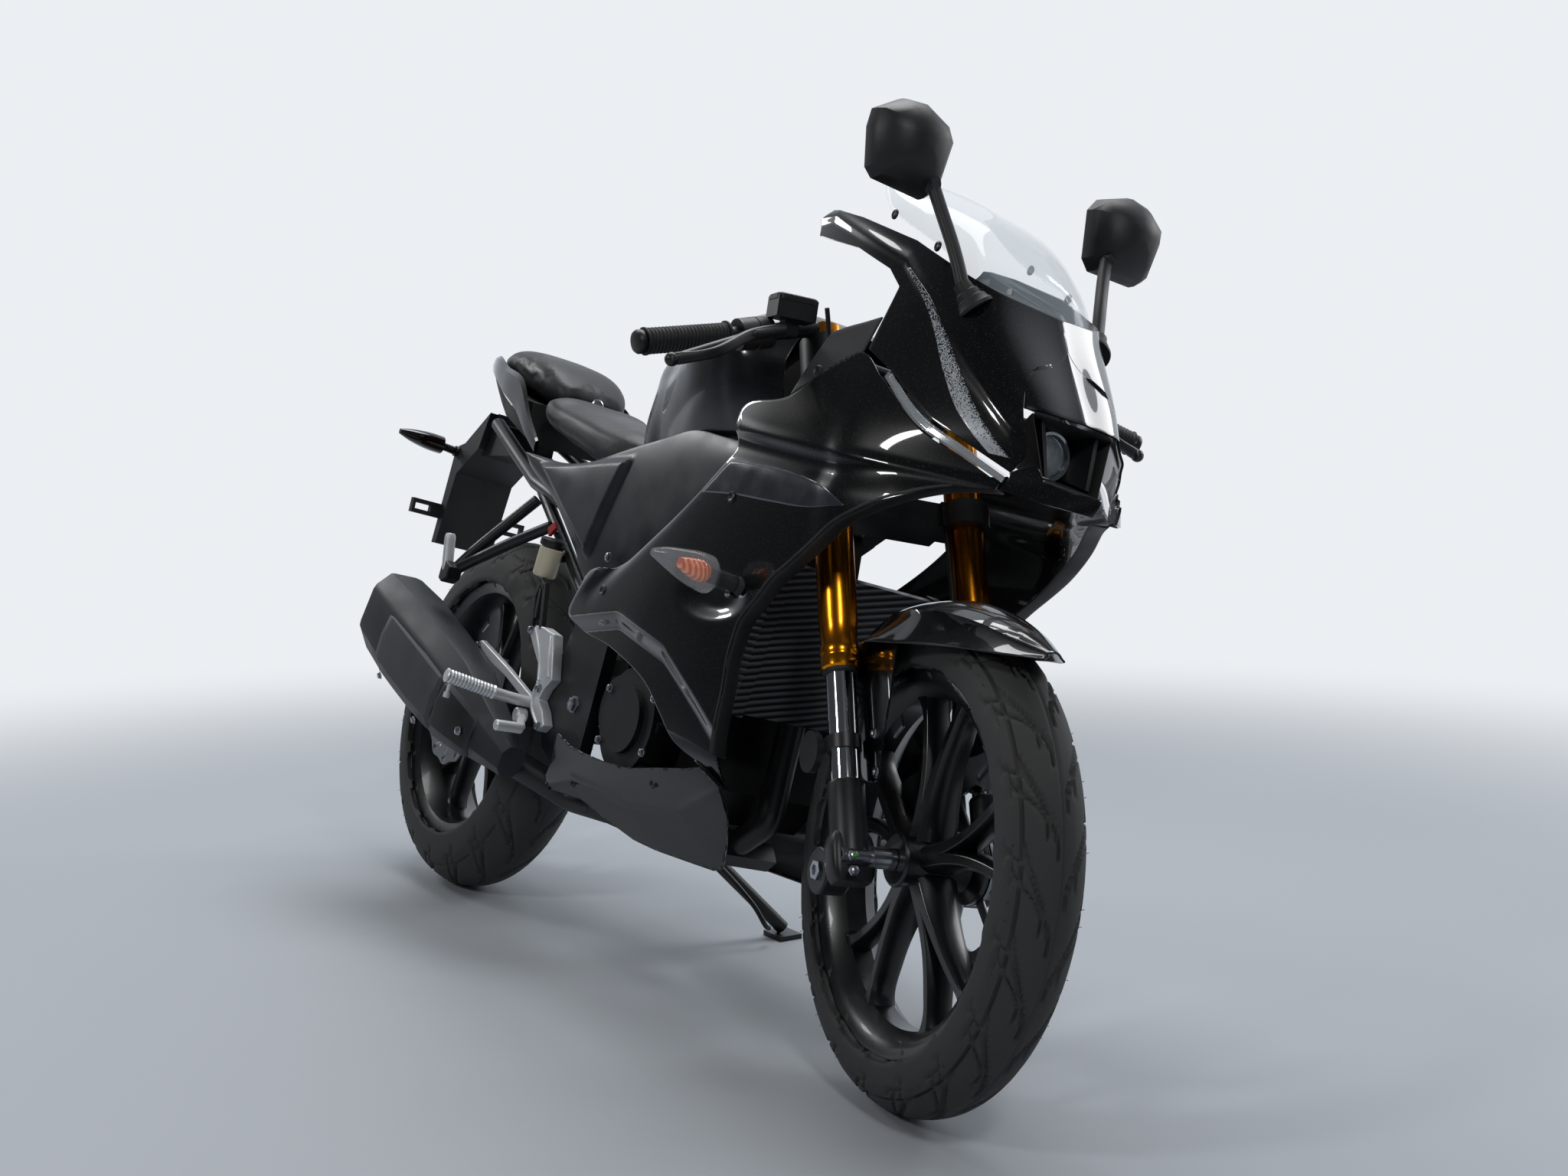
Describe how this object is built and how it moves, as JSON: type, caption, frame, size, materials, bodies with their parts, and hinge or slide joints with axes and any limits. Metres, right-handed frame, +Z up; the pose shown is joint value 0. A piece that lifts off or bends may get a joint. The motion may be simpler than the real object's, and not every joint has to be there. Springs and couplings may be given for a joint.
{
  "type": "sport motorcycle",
  "caption": "Faired sport motorcycle parked on its side stand, with turning steering, free wheels, a folding stand and a hinged fuel cap.",
  "frame": {"origin": "middle of the footprint on the ground, with the bike leaning on its side stand", "axes": "+X towards the front wheel, +Y to the rider's left, +Z up"},
  "size_m": [1.9632, 0.7872, 1.2136],
  "materials": {
    "gloss_paint": "gloss black with fine flake",
    "satin_plastic": "satin dark grey moulded plastic",
    "matte_plastic": "matte black moulded plastic",
    "frame_paint": "semi gloss black powder coat",
    "engine_alloy": "black painted casting",
    "cast_alloy": "bright cast aluminium",
    "gold_anodised": "gold anodised",
    "chrome_steel": "hard chromed",
    "wheel_paint": "satin black",
    "tyre_rubber": "matte",
    "rubber": "matte",
    "disc_steel": "ground stainless steel",
    "chain_steel": "oiled steel",
    "seat_vinyl": "grained black vinyl",
    "clear_screen": "clear polycarbonate",
    "lamp_lens": "clear lens over dark reflector",
    "red_lens": "red lens",
    "amber_lens": "amber lens",
    "fluid_cup": "translucent nylon",
    "steel_bright": "zinc plated steel"
  },
  "bodies": {
    "chassis": {"frame": "frame_paint", "engine": "engine_alloy", "exhaust_pipe": "engine_alloy", "muffler": "matte_plastic", "radiator": "engine_alloy", "swingarm": "frame_paint", "shock_absorber": "frame_paint", "rear_axle": "steel_bright", "drive_chain": "chain_steel", "chain_guard": "matte_plastic", "fuel_tank": "frame_paint", "tank_cover": "satin_plastic", "rider_seat": "seat_vinyl", "pillion_seat": "seat_vinyl", "tail_cowl": "satin_plastic", "tail_lamp": "red_lens", "plate_holder": "matte_plastic", "flashers": "amber_lens", "side_cowls": "gloss_paint", "lower_cowls": "gloss_paint", "front_cowl": "gloss_paint", "inner_panels": "satin_plastic", "frame_covers": "satin_plastic", "windscreen": "clear_screen", "headlamp": "matte_plastic", "running_lamps": "lamp_lens", "mirrors": "matte_plastic", "instruments": "matte_plastic", "peg_hangers": "cast_alloy", "pillion_brackets": "frame_paint", "foot_controls": "cast_alloy", "rear_caliper": "frame_paint", "brake_reservoir": "fluid_cup"},
    "steering": {"triple_clamps": "frame_paint", "fork_outer_tubes": "gold_anodised", "fork_inner_tubes": "chrome_steel", "fork_bottoms": "frame_paint", "handlebars": "frame_paint", "grips": "rubber", "hand_controls": "matte_plastic", "front_fender": "gloss_paint", "front_caliper": "frame_paint", "front_axle": "steel_bright", "reflectors": "amber_lens"},
    "front_wheel": {"front_rim": "wheel_paint", "front_tyre": "tyre_rubber", "front_disc": "disc_steel"},
    "rear_wheel": {"rear_rim": "wheel_paint", "rear_tyre": "tyre_rubber", "rear_disc": "disc_steel", "rear_sprocket": "chain_steel"},
    "side_stand_leg": {"side_stand": "frame_paint"},
    "fuel_cap_lid": {"fuel_cap": "cast_alloy"}
  },
  "joints": [
    {"name": "steering_turn", "type": "hinge", "parent": "chassis", "child": "steering", "pos_m": [0.43825, -0.01038, 0.69186], "axis": [-0.4317, 0.2388, 0.8699], "range_deg": [-17.16, 38.84]},
    {"name": "front_wheel_spin", "type": "hinge", "parent": "steering", "child": "front_wheel", "pos_m": [0.68913, -0.12934, 0.29201], "axis": [0.17, 0.9686, -0.1815], "continuous": true},
    {"name": "rear_wheel_spin", "type": "hinge", "parent": "chassis", "child": "rear_wheel", "pos_m": [-0.63513, -0.11594, 0.3056], "axis": [0.0004, 0.9644, -0.2645], "continuous": true},
    {"name": "side_stand_fold", "type": "hinge", "parent": "chassis", "child": "side_stand_leg", "pos_m": [-0.05497, -0.04929, 0.18647], "axis": [-0.0009, 0.7514, 0.6598], "range_deg": [0, 85]},
    {"name": "fuel_cap_lift", "type": "hinge", "parent": "chassis", "child": "fuel_cap_lid", "pos_m": [0.16651, 0.06117, 0.95232], "axis": [0.0004, 0.9644, -0.2645], "range_deg": [0, 90]}
  ]
}
